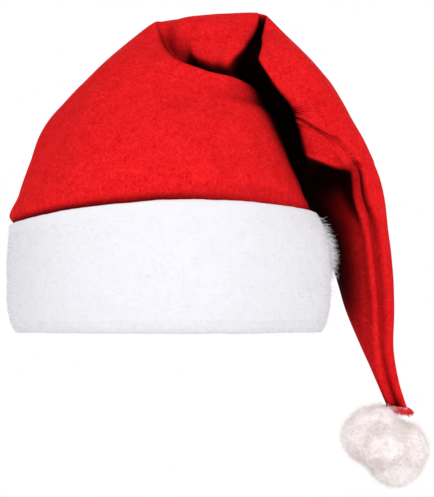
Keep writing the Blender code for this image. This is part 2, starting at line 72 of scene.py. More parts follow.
# Each crown section is a closed loop through four points of the cloth: outer, front, inner and back.
# Outer runs from one side seam over the top to the tail's far edge. Inner runs from the other side
# seam into the folds and down the tail's near edge. Round a loop, 0 degrees is inner, 90 is front,
# 180 is outer and 270 is back. The front panel runs from near_deg to far_deg, the back panel from
# there on, and rows is how many mesh rows follow the section. Metres.
SECTION_COLUMNS = (
    "outer_x", "outer_y", "outer_z", "inner_x", "inner_y", "inner_z",
    "front_x", "front_y", "front_z", "back_x", "back_y", "back_z", "near_deg", "far_deg", "rows",
)
SECTIONS = {
    "flare": (-.0950, .000, .0845, .0850, .000, .0850, -.0020, -.082, .0930, -.005, .082, .0930, 0, 180, 2),
    "temple": (-.0875, .000, .1060, .0775, .000, .1040, -.0030, -.0775, .1110, -.005, .0785, .1100, 0, 180, 2),
    "brow": (-.0800, .000, .1265, .0705, .000, .1230, -.0020, -.068, .1290, -.005, .072, .1270, 0, 180, 2),
    "slope": (-.0640, .000, .1460, .0665, .000, .1340, .0000, -.057, .1450, .001, .064, .1430, 0, 180, 2),
    "peak": (-.0392, .000, .1712, .0625, -.001, .1415, .0050, -.046, .1570, .012, .053, .1600, -12, 184, 2),
    "lip": (-.0112, -.002, .1945, .0590, -.002, .1475, .0090, -.034, .1645, .021, .042, .1760, -28, 190, 2),
    "tuck": (-.0050, .000, .1962, .0572, .0025, .1510, .0125, -.018, .1640, .027, .037, .1800, -38, 196, 2),
    "facet_left": (.0100, .001, .1990, .0575, .007, .1535, .0165, -.019, .1770, .033, .034, .1815, -44, 200, 2),
    "facet": (.0300, .002, .2018, .0580, .0115, .1560, .0300, -.020, .1780, .040, .033, .1820, -46, 202, 2),
    "facet_edge": (.0535, .001, .2022, .0580, .016, .1580, .0465, -.021, .1735, .047, .033, .1815, -46, 204, 1),
    "pinch_left": (.0570, .002, .2015, .0575, .020, .1590, .0500, .008, .1760, .053, .034, .1800, -44, 206, 1),
    "pinch_right": (.0603, .002, .2010, .0570, .024, .1585, .0605, .008, .1750, .059, .035, .1780, -40, 206, 1),
    "corner": (.0640, .001, .1985, .0560, .028, .1555, .0578, -.021, .1760, .065, .037, .1740, -34, 206, 2),
    "shoulder": (.0802, .002, .1820, .0570, .0315, .1470, .0735, -.027, .1620, .074, .040, .1640, -12, 206, 2),
    "slide": (.1018, .004, .1570, .0630, .035, .1350, .0870, -.027, .1440, .084, .044, .1480, 34, 214, 2),
    "apron": (.1190, .008, .1300, .0710, .038, .1220, .0980, -.021, .1200, .094, .050, .1250, 95, 246, 2),
    "buckle": (.1302, .014, .1100, .0750, .041, .1100, .1020, -.015, .1060, .102, .053, .1100, 117, 270, 1),
    "brink": (.1310, .015, .1075, .0755, .0415, .1075, .1025, -.0125, .1025, .103, .053, .1075, 121, 274, 1),
    "nape": (.1347, .019, .0975, .0785, .043, .1000, .1080, .012, .1015, .107, .054, .0990, 121, 286, 1),
    "collar": (.1380, .021, .0850, .0850, .043, .0870, .1120, .011, .0870, .112, .054, .0860, 118, 288, 1),
    "hang": (.1402, .023, .0650, .0930, .043, .0670, .1190, .005, .0660, .117, .050, .0660, 115, 284, 1),
    "bulge": (.1430, .024, .0390, .1060, .033, .0385, .1250, .0065, .0385, .1245, .043, .0385, 114, 282, 1),
    "taper": (.1440, .024, .0140, .1130, .028, .0145, .1290, .0085, .0140, .1285, .039, .0140, 112, 284, 1),
    "neck": (.1435, .0235, -.0110, .1230, .024, -.0105, .1340, .011, -.0110, .1335, .034, -.0110, 101, 286, 1),
    "stem": (.1462, .021, -.0300, .1315, .021, -.0295, .1392, .0125, -.0300, .1390, .029, -.0300, 86, 280, 1),
    "tip": (.1515, .019, -.0500, .1405, .019, -.0490, .1462, .0150, -.0495, .1460, .023, -.0495, 76, 272, 1),
}

# Where a fold draws a section away from its plain loop: the cloth at that angle is pulled to the
# point, and the pull fades out over the spread on either side. Degrees and metres.
PULL_COLUMNS = ("section", "angle", "spread", "x", "y", "z")
PULLS = (
    ("lip", 140, 45, -.0068, -.0180, .1805),
    ("lip", 60, 45, .0300, -.0350, .1590),
    ("lip", 30, 40, .0500, -.0220, .1535),
    ("tuck", 140, 45, -.0010, -.0100, .1810),
    ("tuck", 60, 40, .0300, -.0090, .1500),
    ("tuck", 30, 40, .0480, -.0020, .1470),
    ("facet_left", 65, 35, .0185, -.0225, .1655),
    ("facet_left", 38, 35, .0340, -.0040, .1510),
    ("facet", 65, 35, .0285, -.0245, .1628),
    ("facet", 38, 35, .0400, -.0030, .1520),
    ("facet_edge", 135, 45, .0525, -.0110, .1890),
    ("facet_edge", 65, 35, .0385, -.0250, .1632),
    ("facet_edge", 38, 35, .0450, -.0020, .1545),
    ("pinch_left", 135, 45, .0555, .0050, .1890),
    ("pinch_left", 65, 40, .0480, .0120, .1650),
    ("pinch_left", 38, 40, .0520, .0150, .1590),
    ("pinch_right", 135, 45, .0605, .0050, .1880),
    ("pinch_right", 65, 40, .0620, .0120, .1660),
    ("pinch_right", 38, 40, .0620, .0160, .1610),
    ("corner", 135, 45, .0590, -.0110, .1870),
    ("corner", 65, 35, .0570, -.0265, .1665),
    ("corner", 38, 35, .0660, .0060, .1600),
    ("shoulder", 65, 35, .0665, -.0305, .1505),
    ("shoulder", 38, 35, .0740, .0060, .1500),
    ("slide", 65, 35, .0755, -.0300, .1390),
    ("slide", 38, 35, .0805, .0060, .1390),
    ("apron", 65, 35, .0800, -.0265, .1250),
    ("apron", 38, 35, .0850, .0090, .1250),
    ("buckle", 65, 35, .0835, -.0205, .1120),
    ("buckle", 38, 35, .0880, .0140, .1110),
    ("brink", 65, 35, .0850, -.0185, .1085),
    ("brink", 118, 25, .1150, -.0120, .1040),
    ("brink", 145, 30, .1265, -.0045, .1045),
    ("brink", 38, 35, .0890, .0150, .1080),
    ("nape", 65, 35, .0960, .0220, .1050),
    ("nape", 118, 30, .1170, -.0070, .1000),
    ("nape", 145, 40, .1290, -.0015, .0995),
    ("collar", 116, 30, .1200, -.0020, .0850),
    ("collar", 145, 40, .1330, .0035, .0860),
)

# Soft dents and swells of the crown: how far the cloth moves out, fading over the spread either side
DENT_COLUMNS = ("section", "angle", "spread", "out")
DENTS = (
    ("flare", 116, 20, .0008),
    ("temple", 118, 20, .0018),
    ("temple", 146, 26, -.0022),
    ("temple", 60, 30, -.0010),
    ("brow", 122, 22, .0022),
    ("brow", 148, 26, -.0026),
    ("brow", 72, 32, -.0010),
    ("slope", 126, 22, .0020),
    ("slope", 84, 40, -.0044),
    ("slope", 40, 26, .0010),
    ("peak", 100, 50, -.0024),
)

# The band's wall up its height: share of the height, how far the wall stands in from the oval, and
# how far its face and its lining are rounded in from there
BAND_PROFILE = (
    (0.000, 0.0036, 0.0034),
    (0.015, 0.0034, 0.0022),
    (0.043, 0.0030, 0.0012),
    (0.100, 0.0020, 0.0004),
    (0.200, 0.0010, 0.0000),
    (0.300, 0.0002, 0.0000),
    (0.650, 0.0000, 0.0000),
    (0.820, 0.0004, 0.0000),
    (0.975, 0.0000, 0.0000),
)
BAND_LEAN_FROM = 0.6
HEM_ROOM_OUTSIDE = 0.0010
HEM_ROOM_INSIDE = 0.0012

# Each lobe's centre from the pompom's centre, and its radius: x, y, z, radius
LOBES = (
    (-0.0105, 0.0005, 0.0050, 0.0176),
    (-0.0010, 0.0005, 0.0100, 0.0166),
    (0.0085, -0.0010, -0.0030, 0.0186),
    (0.0060, -0.0010, -0.0090, 0.0180),
    (0.0000, -0.0055, 0.0000, 0.0190),
    (0.0000, 0.0060, 0.0000, 0.0190),
)

# Steps round a loop, the length that one radian of bend counts for when columns are spaced, and the
# steps on each side over which the normals are eased
LOOP_STEPS = 1440
BEND_LENGTH = 0.002
NORMAL_EASE = 12

# The photo's view, and a floor far below the tail
CAMERA_AIM = (0.0302, 0.0, 0.0526)
CAMERA_PLACE = (0.0302, -1.174, 0.015)
CAMERA_LENS = 135
FLOOR_Z = -0.30
FLOOR_HALF = 1.6

# Fine surface of the crown: steps to each mesh row, and columns over each panel
ROW_STEPS = 6
FRONT_FINE = 190
BACK_FINE = 150

# Seam between the panels: both edges roll in beside a low welt. Where there are two values, the first
# is the crown's and the second the tail's, and one turns into the other over the tail rows. The seam
# shows from the start row up.
SEAM_DEPTH = (0.0012, 0.0030)
SEAM_WIDTH = (0.0038, 0.0030)
SEAM_WELT_HEIGHT = (0.0006, 0.0014)
SEAM_WELT_PLACE = 0.0052
SEAM_WELT_WIDTH = 0.0028
SEAM_TAIL_ROWS = (31, 37)
SEAM_START_ROW = 3

# Shade is painted into the felt's colour: felt in folds and pockets narrower than this reach is painted dark
PAINTED_SHADE_REACH = 0.10

# Broad softness of the cloth and the finer unevenness on it: size and height. It fades in above the
# band and out down the tail, over these rows.
CLOTH_WAVES = ((0.045, 0.0010), (0.016, 0.0004))
WAVES_START_ROWS = (1.5, 4.0)
WAVES_END_ROWS = (34, 40)


def seam_height(angle):
    """Height of the band's upper edge. Two flat panels sewn to a tube dip at their side seams."""
    across = np.cos(angle)
    return BAND_HEIGHT - SEAM_SIDE_DIP * across**2 + SEAM_TILT * across


def seam_inset(angle):
    """How far the band leans in at its upper edge."""
    return SEAM_INSET + SEAM_INSET_LEAN * np.cos(angle)


def band_loop(angle, inset, height):
    """Points of the band's oval, moved in by inset, as an array of (x, y, z)."""
    x = (BAND_HALF_WIDTH - inset) * np.cos(angle)
    y = -(BAND_HALF_DEPTH - inset) * np.sin(angle)
    return np.stack([x, y, height + 0 * angle], axis=-1)


def band_face(angle, share, depth):
    """A loop at a share of the band's height, and at a depth into it from the wall's own line."""
    shares, insets, rounds = zip(*BAND_PROFILE)
    lean = np.clip((share - BAND_LEAN_FROM) / (1 - BAND_LEAN_FROM), 0, 1) ** 2
    inset = np.interp(share, shares, insets) + seam_inset(angle) * lean + depth
    return band_loop(angle, inset, share * seam_height(angle))


def hem_loop(angle, below_seam):
    """The crown's hem in the band's fold."""
    share = 1 - below_seam / seam_height(angle)
    return band_face(angle, share, BAND_CLOTH + HEM_ROOM_OUTSIDE)


def puff_loop(angle):
    """The crown just above the seam."""
    across = np.cos(angle)
    inset = seam_inset(angle) + PUFF_INSET + PUFF_INSET_LEAN * across + PUFF_INSET_SIDES * across**2
    return band_loop(angle, inset, seam_height(angle) + PUFF_RISE)


def section_value(name, column):
    """One value of a section, by its column's name."""
    return SECTIONS[name][SECTION_COLUMNS.index(column)]


def section_point(name, point):
    """The outer, inner, front or back point of a section."""
    return np.array([section_value(name, f"{point}_{axis}") for axis in "xyz"])


def plain_loop(name, angle):
    """A smooth closed loop through a section's outer, front, inner and back points."""
    outer, inner = section_point(name, "outer"), section_point(name, "inner")
    front, back = section_point(name, "front"), section_point(name, "back")
    middle = (outer + inner + front + back) / 4
    across = (inner - outer) / 2
    through = (front - back) / 2
    egg = (outer + inner - front - back) / 4
    a = angle[:, None]
    return middle + across * np.cos(a) + through * np.sin(a) + egg * np.cos(2 * a)


def fade(turn, spread):
    """1 at no turn, falling smoothly to 0 at the spread."""
    off = np.abs((turn + math.pi) % (2 * math.pi) - math.pi) / spread
    return np.where(off < 1, (1 - off**2) ** 2, 0.0)


def dented_loop(name, angle):
    """A section's plain loop with its soft dents and swells."""
    loop = plain_loop(name, angle)
    middle = plain_loop(name, np.linspace(0, 2 * math.pi, LOOP_STEPS, endpoint=False)).mean(axis=0)
    out = unit(loop - middle)
    for dent in (dict(zip(DENT_COLUMNS, d)) for d in DENTS if d[0] == name):
        share = fade(angle - math.radians(dent["angle"]), math.radians(dent["spread"]))
        loop = loop + out * dent["out"] * share[:, None]
    return loop


def section_loop(name, angle):
    """A section's dented loop with its pulls, each of which passes through its own point."""
    loop = dented_loop(name, angle)
    pulls = [dict(zip(PULL_COLUMNS, p)) for p in PULLS if p[0] == name]
    if not pulls:
        return loop
    at = np.radians([p["angle"] for p in pulls])
    spread = np.radians([p["spread"] for p in pulls])
    target = np.array([[p["x"], p["y"], p["z"]] for p in pulls])
    share = fade(at[:, None] - at[None, :], spread[None, :])
    strength = np.linalg.solve(share, target - dented_loop(name, at))
    return loop + fade(angle[:, None] - at[None, :], spread[None, :]) @ strength


def key_loops(angle):
    """The crown's key loops from its hem to its tip."""
    loops = [hem_loop(angle, HEM_DEPTH), hem_loop(angle, 0.0), puff_loop(angle)]
    return loops + [section_loop(name, angle) for name in SECTIONS]


def key_seams():
    """The angles of the near and far seam on each key loop, as rows of two points."""
    start = [(0.0, 180.0)] * 3
    rest = [(section_value(name, "near_deg"), section_value(name, "far_deg")) for name in SECTIONS]
    return np.radians(start + rest)


def folded_columns(line, columns):
    """Points along a line, closer where it bends, and one groove's width in from each end."""
    step = np.linalg.norm(np.diff(line[:, :3], axis=0), axis=1)
    heading = unit(np.gradient(line[:, :3], axis=0))
    bend = np.linalg.norm(np.diff(heading, axis=0), axis=1)
    along = np.concatenate([[0], np.cumsum(step + bend * BEND_LENGTH)])
    edge = min(GROOVE_HALF_WIDTH, along[-1] / columns)
    inner = np.linspace(edge, along[-1] - edge, columns - 1)
    wanted = np.concatenate([[0], inner, [along[-1]]])
    return np.stack([np.interp(wanted, along, values) for values in line.T], axis=-1)


def smooth_rows(keys, counts):
    """Catmull-Rom rows through the key rows, in so many steps from each key to the next."""
    count = len(keys)
    lengths = [np.linalg.norm((keys[i + 1] - keys[i])[:, :3], axis=1).mean() for i in range(count - 1)]
    knots = np.concatenate([[0], np.cumsum(np.sqrt(lengths))])
    pace = [(keys[i + 1] - keys[i]) / (knots[i + 1] - knots[i]) for i in range(count - 1)]
    slopes = [pace[0]]
    for i in range(1, count - 1):
        share = (knots[i] - knots[i - 1]) / (knots[i + 1] - knots[i - 1])
        slopes.append(pace[i - 1] * (1 - share) + pace[i] * share)
    slopes.append(pace[-1])
    rows = []
    for i in range(count - 1):
        span = knots[i + 1] - knots[i]
        for step in range(counts[i]):
            t = step / counts[i]
            start, leave = 2 * t**3 - 3 * t**2 + 1, t**3 - 2 * t**2 + t
            end, arrive = -2 * t**3 + 3 * t**2, t**3 - t**2
            bend = leave * slopes[i] + arrive * slopes[i + 1]
            rows.append(start * keys[i] + end * keys[i + 1] + span * bend)
    rows.append(keys[-1])
    return np.array(rows)


def unit(vectors):
    """Vectors at length 1."""
    return vectors / np.linalg.norm(vectors, axis=-1, keepdims=True)


def loop_normals(loops):
    """Outward unit normals of the crown, eased over a few degrees so that both panels share them."""
    across = np.roll(loops, -NORMAL_EASE, axis=1) - np.roll(loops, NORMAL_EASE, axis=1)
    along = np.gradient(loops, axis=0)
    return unit(np.cross(along, across))


def part_loop(line, start, end):
    """The part of a closed line of points from one angle to another, finely stepped."""
    angle = np.linspace(0, 2 * math.pi, LOOP_STEPS, endpoint=False)
    wanted = np.linspace(start, end, LOOP_STEPS)
    columns = [np.interp(wanted, angle, values, period=2 * math.pi) for values in line.T]
    return np.stack(columns, axis=-1)


def crown_loops(angle):
    """Fine smooth loops from the hem to the tip, with the seams' angles."""
    counts = [1, 1, 1] + [section_value(name, "rows") for name in SECTIONS]
    keys = [np.concatenate([loop, 0 * loop[:, :2] + seam], axis=1)
            for loop, seam in zip(key_loops(angle), key_seams())]
    rows = smooth_rows(keys, [count * ROW_STEPS for count in counts])
    return rows[:, :, :3], rows[:, 0, 3:]


def smooth_step(low, high, value):
    """0 up to low, 1 from high, and a smooth rise between them."""
    t = np.clip((value - low) / (high - low), 0, 1)
    return t * t * (3 - 2 * t)


def field(points, size, seed):
    """Smooth noise from -1 to 1 at each point, with features of that size."""
    flat = points.reshape(-1, 3) / size + seed
    values = [noise.noise(Vector(p)) for p in flat]
    return np.array(values).reshape(points.shape[:-1])


def panel_surface(front, columns):
    """Fine grid of points over one panel, with its normals."""
    angle = np.linspace(0, 2 * math.pi, LOOP_STEPS, endpoint=False)
    loops, seams = crown_loops(angle)
    if not front:
        seams = np.stack([seams[:, 1], seams[:, 0] + 2 * math.pi], axis=-1)
    lines = np.concatenate([loops, loop_normals(loops)], axis=-1)
    rows = [folded_columns(part_loop(line, *ends), columns) for line, ends in zip(lines, seams)]
    rows = np.array(rows)
    return rows[:, :, :3], unit(rows[:, :, 3:])


def edge_distance(points):
    """Distance of each point from the nearer end of its row, along the row."""
    step = np.linalg.norm(np.diff(points, axis=1), axis=2)
    along = np.concatenate([np.zeros((len(points), 1)), np.cumsum(step, axis=1)], axis=1)
    return np.minimum(along, along[:, -1:] - along)


def seam_profile(distance, tail):
    """Height of the cloth beside a seam: a roll down into it, and a low welt where it was pressed.

    tail is 0 on the crown and 1 down the tail, where the seam is deeper.
    """
    pairs = (SEAM_DEPTH, SEAM_WIDTH, SEAM_WELT_HEIGHT)
    depth, width, rise = (crown + (end - crown) * tail for crown, end in pairs)
    roll = -depth * np.exp(-(distance / width) ** 2)
    welt = rise * np.exp(-((distance - SEAM_WELT_PLACE) / SEAM_WELT_WIDTH) ** 2)
    return roll + welt


def grid_object(name, points, closed=False):
    """A smooth mesh through a grid of points, joined round where it is closed."""
    high, wide = points.shape[:2]
    across = np.arange(wide if closed else wide - 1)
    left = (np.arange(high - 1)[:, None] * wide + across[None, :]).ravel()
    right = (np.arange(high - 1)[:, None] * wide + (across[None, :] + 1) % wide).ravel()
    quads = np.stack([left, left + wide, right + wide, right], axis=-1)
    mesh = bpy.data.meshes.new(name)
    mesh.from_pydata(points.reshape(-1, 3).tolist(), [], quads.tolist())
    mesh.update()
    mesh.shade_smooth()
    obj = bpy.data.objects.new(name, mesh)
    bpy.context.scene.collection.objects.link(obj)
    return obj


def build_panel(name, solid, front, columns, material):
    """One felt panel with its seam edges, soft unevenness and thickness."""
    points, normal = panel_surface(front, columns)
    rows = np.arange(len(points))[:, None] / ROW_STEPS
    sewn = smooth_step(SEAM_START_ROW, SEAM_START_ROW + 1, rows)
    tail = smooth_step(*SEAM_TAIL_ROWS, rows)
    height = seam_profile(edge_distance(points), tail) * sewn
    free = smooth_step(*WAVES_START_ROWS, rows) * (1 - smooth_step(*WAVES_END_ROWS, rows))
    for i, (size, amount) in enumerate(CLOTH_WAVES):
        height = height + field(points, size, 11 * i + 3) * amount * free
    points = points + normal * height[:, :, None]
    obj = grid_object(name, points)
    obj.data.materials.append(material)
    wall = obj.modifiers.new("felt", "SOLIDIFY")
    wall.thickness = FELT
    wall.offset = -1
    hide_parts(solid)
    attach(obj, "root")


# Looks of the cloth: a low shine, the felt's dark and light patches, the tint of its matted and free
# fibres, and the shade painted into its colour in a deep fold
CLOTH_SHINE = 0.03
FELT_MOTTLE = ((0.69, 0.0062, 0.0078, 1), (0.78, 0.0088, 0.0108, 1))
FELT_FIBRE = ((0.66, 0.25, 0.25, 1), (1.22, 2.6, 2.6, 1))
PAINTED_FOLD_SHADE = (0.02, 0.02, 0.02, 1)


def node(material, kind, **sockets):
    """A shader node with its sockets set."""
    made = material.node_tree.nodes.new(kind)
    for key, value in sockets.items():
        made.inputs[key.replace("_", " ")].default_value = value
    return made


def new_material(name, colour, roughness, sheen):
    """A dull cloth material and its shader."""
    material = bpy.data.materials.new(name)
    material.use_nodes = True
    shader = material.node_tree.nodes["Principled BSDF"]
    shader.inputs["Base Color"].default_value = colour
    shader.inputs["Roughness"].default_value = roughness
    shader.inputs["Specular IOR Level"].default_value = CLOTH_SHINE
    shader.inputs["Sheen Weight"].default_value = sheen
    shader.inputs["Sheen Roughness"].default_value = 0.5
    return material, shader


def mixed_noise(material, coordinates, scale, detail, roughness, distortion=0.0):
    """A noise texture in the object's own coordinates."""
    made = node(material, "ShaderNodeTexNoise", Scale=scale, Detail=detail, Roughness=roughness,
                Distortion=distortion)
    material.node_tree.links.new(coordinates.outputs["Object"], made.inputs["Vector"])
    return made


def two_colours(material, factor, low, high, start, end):
    """A ramp between two colours, driven by a texture's factor."""
    ramp = material.node_tree.nodes.new("ShaderNodeValToRGB")
    ramp.color_ramp.elements[0].position = start
    ramp.color_ramp.elements[1].position = end
    ramp.color_ramp.elements[0].color = low
    ramp.color_ramp.elements[1].color = high
    material.node_tree.links.new(factor, ramp.inputs["Fac"])
    return ramp


def multiply(material, first, second):
    """Two colours multiplied."""
    both = material.node_tree.nodes.new("ShaderNodeMix")
    both.data_type = "RGBA"
    both.blend_type = "MULTIPLY"
    both.inputs["Factor"].default_value = 1.0
    material.node_tree.links.new(first, both.inputs["A"])
    material.node_tree.links.new(second, both.inputs["B"])
    return both.outputs["Result"]


def painted_crevice_shade(material, reach, dark, start, end):
    """Painted shade: a colour that falls from white on open cloth to dark in folds and pockets narrower than
    reach.
    """
    painted_nook_shade = node(material, "ShaderNodeAmbientOcclusion", Distance=reach)
    painted_nook_shade.samples = 8
    return two_colours(material, painted_nook_shade.outputs["AO"], dark, (1, 1, 1, 1), start, end)


def felt_material():
    """Red felt: curly fibres matted together, with a faint mottle, small bright fibre ends, and shade painted
    dark into its colour in folds and pockets.
    """
    material, shader = new_material("red_felt_looks", (0.7, 0.01, 0.012, 1), 0.95, 0.0)
    tree = material.node_tree
    place = tree.nodes.new("ShaderNodeTexCoord")
    mottle = mixed_noise(material, place, 95, 4, 0.55)
    fibre = mixed_noise(material, place, 480, 7, 0.85, 1.2)
    broad = two_colours(material, mottle.outputs["Fac"], *FELT_MOTTLE, 0.3, 0.7)
    fine = two_colours(material, fibre.outputs["Fac"], *FELT_FIBRE, 0.36, 0.66)
    cloth = multiply(material, broad.outputs["Color"], fine.outputs["Color"])
    # Painted shade: the felt's colour is darkened in folds and pockets
    depth = painted_crevice_shade(material, PAINTED_SHADE_REACH, PAINTED_FOLD_SHADE, 0.30, 0.95)
    colour = multiply(material, cloth, depth.outputs["Color"])
    tree.links.new(colour, shader.inputs["Base Color"])
    deep = node(material, "ShaderNodeBump", Strength=0.6, Distance=0.0009)
    tree.links.new(fibre.outputs["Fac"], deep.inputs["Height"])
    tree.links.new(deep.outputs["Normal"], shader.inputs["Normal"])
    return material


def plush_material(name, low, high, size, relief, painted_glow, painted_nook_shade, painted_nook_reach):
    """White plush: clumps of pile, with shade painted into its colour between locks closer than the nook's
    reach.

    size is the noise's scale, relief the depth of its clumps in metres, and the glow is painted light:
    the plush emits light of its own, standing for the light that the pile lets through.
    """
    material, shader = new_material(name, high, 0.95, 0.2)
    # Painted light: the plush glows a little though it is no lamp
    shader.inputs["Emission Color"].default_value = high
    shader.inputs["Emission Strength"].default_value = painted_glow
    tree = material.node_tree
    place = tree.nodes.new("ShaderNodeTexCoord")
    clump = mixed_noise(material, place, size, 5, 0.6, 0.8)
    pile = mixed_noise(material, place, size * 7, 4, 0.7, 1.5)
    shade = two_colours(material, clump.outputs["Fac"], low, high, 0.35, 0.62)
    # Painted shade: the plush's colour is darkened between close locks
    depth = painted_crevice_shade(material, painted_nook_reach, painted_nook_shade, 0.15, 0.75)
    colour = multiply(material, shade.outputs["Color"], depth.outputs["Color"])
    tree.links.new(colour, shader.inputs["Base Color"])
    fine = node(material, "ShaderNodeBump", Strength=0.35, Distance=relief / 3)
    tree.links.new(pile.outputs["Fac"], fine.inputs["Height"])
    soft = node(material, "ShaderNodeBump", Strength=0.3, Distance=relief)
    tree.links.new(clump.outputs["Fac"], soft.inputs["Height"])
    tree.links.new(fine.outputs["Normal"], soft.inputs["Normal"])
    tree.links.new(soft.outputs["Normal"], shader.inputs["Normal"])
    return material


# Places along a strand where it has a cross line
STRAND_SHARES = (0.0, 0.36, 0.7, 1.0)


def strands(name, roots, ends, width, bend, draw, material):
    """Tapering ribbons from roots to ends, as one mesh. bend bows each to a random side."""
    count = len(roots)
    along = ends - roots
    side = unit(np.cross(along, draw.normal(size=(count, 3))))
    bow = np.cross(unit(along), side) * (draw.normal(size=(count, 1)) * bend)
    half = width[:, None] / 2
    rings = []
    for share in STRAND_SHARES:
        middle = roots + along * share + bow * (4 * share * (1 - share))
        taper = (1 - share**2) * 0.85 + 0.15
        rings.append(np.stack([middle - side * half * taper, middle + side * half * taper], axis=1))
    verts = np.stack(rings, axis=1).reshape(-1, 3)
    base = np.arange(count)[:, None] * (2 * len(STRAND_SHARES))
    quads = []
    for k in range(len(STRAND_SHARES) - 1):
        corner = base + 2 * k
        quads.append(np.concatenate([corner, corner + 1, corner + 3, corner + 2], axis=1))
    quads = np.concatenate(quads)
    mesh = bpy.data.meshes.new(name)
    mesh.from_pydata(verts.tolist(), [], quads.tolist())
    mesh.update()
    mesh.shade_smooth()
    obj = bpy.data.objects.new(name, mesh)
    bpy.context.scene.collection.objects.link(obj)
    mesh.materials.append(material)
    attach(obj, "root")


# The band's fine surface: columns round it, the share of its height over which its top rolls over,
# where its face and its foot begin and end as shares of the height, the rows of each, and the
# plush's unevenness as size and height
BAND_FINE_COLUMNS = 420
BAND_RIM_ROUND = 0.012
BAND_RIM_ROWS = 9
BAND_FACE_FROM = 0.96
BAND_FACE_TO = 0.10
BAND_FOOT_START = 0.09
BAND_FACE_ROWS = 42
BAND_FOOT_ROWS = 12
BAND_WAVES = ((0.030, 0.0005), (0.009, 0.0002), (0.003, 0.00012))

# Short pile all over the band's face and foot, leaning down a little
PILE_STRANDS = 30000
PILE_LENGTH = (0.0005, 0.0013)
PILE_WIDTH = 0.00018
PILE_BEND = 0.0002
PILE_SINK = 0.0003
PILE_SPREAD = 0.7
PILE_DROOP = (0, 0, -0.35)
PILE_ROWS = (12, 60)

# Longer tufts at the band's right end, four in five of them in one clump
TUFT_STRANDS = 1100
TUFT_LENGTH = (0.003, 0.0070)
TUFT_CLUMP = TUFT_STRANDS * 4 // 5
TUFT_CLUMP_TURN = (0.0, 0.13)
TUFT_CLUMP_SHARE = (0.68, 0.12)
TUFT_LOOSE_TURN = (-0.7, 0.7)
TUFT_LOOSE_SHARE = (0.3, 0.95)
TUFT_SHARE_LIMITS = (0.2, 0.96)
TUFT_SPREAD = 0.5
TUFT_DROOP = (0, 0, -0.25)
TUFT_BEND = 0.001


def band_outline(angle):
    """Rows of points from inside the rim's fold, over it, down the face, round the foot and up the lining."""
    slot = HEM_ROOM_OUTSIDE + FELT + HEM_ROOM_INSIDE
    width = 2 * BAND_CLOTH + slot
    shares, insets, rounds = zip(*BAND_PROFILE)
    turn = np.linspace(0, math.pi, BAND_RIM_ROWS)
    heights = 1 - BAND_RIM_ROUND * (1 - np.sin(turn))
    rows = [band_face(angle, h, BAND_CLOTH / 2 * (1 + math.cos(t))) for h, t in zip(heights, turn)]
    face = np.linspace(BAND_FACE_FROM, BAND_FACE_TO, BAND_FACE_ROWS)
    foot = np.linspace(BAND_FOOT_START, 0, BAND_FOOT_ROWS) ** 2 / BAND_FOOT_START
    face = np.concatenate([face, foot])
    rows += [band_face(angle, share, np.interp(share, shares, rounds)) for share in face]
    rows += [band_face(angle, share, width - np.interp(share, shares, rounds)) for share in face[::-1]]
    return np.array(rows)


def build_band(material, draw):
    """The plush band, folded double, with its pile and tufts."""
    angle = np.linspace(0, 2 * math.pi, BAND_FINE_COLUMNS, endpoint=False)
    points = band_outline(angle)
    across = np.roll(points, -1, axis=1) - np.roll(points, 1, axis=1)
    normal = unit(np.cross(across, np.gradient(points, axis=0)))
    height = 0
    for i, (size, amount) in enumerate(BAND_WAVES):
        height = height + field(points, size, 7 * i + 1) * amount
    points = points + normal * height[:, :, None]
    obj = grid_object("band_plush", points[::-1], closed=True)
    obj.data.materials.append(material)
    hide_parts("band")
    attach(obj, "root")
    build_pile(points, normal, material, draw)
    build_tufts(material, draw)


def build_pile(points, normal, material, draw):
    """Short fibres standing off the band's face and foot."""
    row = draw.integers(*PILE_ROWS, PILE_STRANDS)
    column = draw.integers(0, BAND_FINE_COLUMNS, PILE_STRANDS)
    roots = points[row, column]
    out = normal[row, column]
    heading = unit(out + draw.normal(size=out.shape) * PILE_SPREAD + np.array(PILE_DROOP))
    length = draw.uniform(*PILE_LENGTH, (PILE_STRANDS, 1))
    width = np.full(PILE_STRANDS, PILE_WIDTH)
    strands("band_pile", roots - out * PILE_SINK, roots + heading * length, width, PILE_BEND, draw,
            material)


def build_tufts(material, draw):
    """Longer fibres that stand out at the band's right end."""
    loose = TUFT_STRANDS - TUFT_CLUMP
    turn = np.concatenate([draw.normal(*TUFT_CLUMP_TURN, TUFT_CLUMP), draw.uniform(*TUFT_LOOSE_TURN, loose)])
    clump_share = draw.normal(*TUFT_CLUMP_SHARE, TUFT_CLUMP)
    share = np.concatenate([clump_share, draw.uniform(*TUFT_LOOSE_SHARE, loose)])
    share = np.clip(share, *TUFT_SHARE_LIMITS)
    base = np.array([band_face(np.array([a]), s, 0.0)[0] for a, s in zip(turn, share)])
    out = np.stack([np.cos(turn), -np.sin(turn), 0 * turn], axis=-1)
    heading = unit(out + draw.normal(size=out.shape) * TUFT_SPREAD + np.array(TUFT_DROOP))
    length = draw.uniform(*TUFT_LENGTH, (TUFT_STRANDS, 1))
    width = np.full(TUFT_STRANDS, PILE_WIDTH)
    strands("band_tufts", base, base + heading * length, width, TUFT_BEND, draw, material)


# The pompom's soft core: its share of the lobes' reach, how softly the lobes blend, and its
# unevenness as size and height
POMPOM_CORE_SHARE = 0.965
POMPOM_CORE_DETAIL = 7
LOBE_BLEND = 0.0016
POMPOM_WAVES = ((0.0125, 0.0018), (0.0060, 0.0006), (0.0026, 0.0002))

# The tail's middle line at its end and further up, and the dimple that its end presses in the core
TAIL_END_LOW = (0.1462, 0.0190, -0.0520)
TAIL_END_HIGH = (0.1390, 0.0210, -0.0300)
DIMPLE_DEPTH = 0.0045
DIMPLE_WIDTH = 0.0085
DIMPLE_START = (-0.012, -0.004)

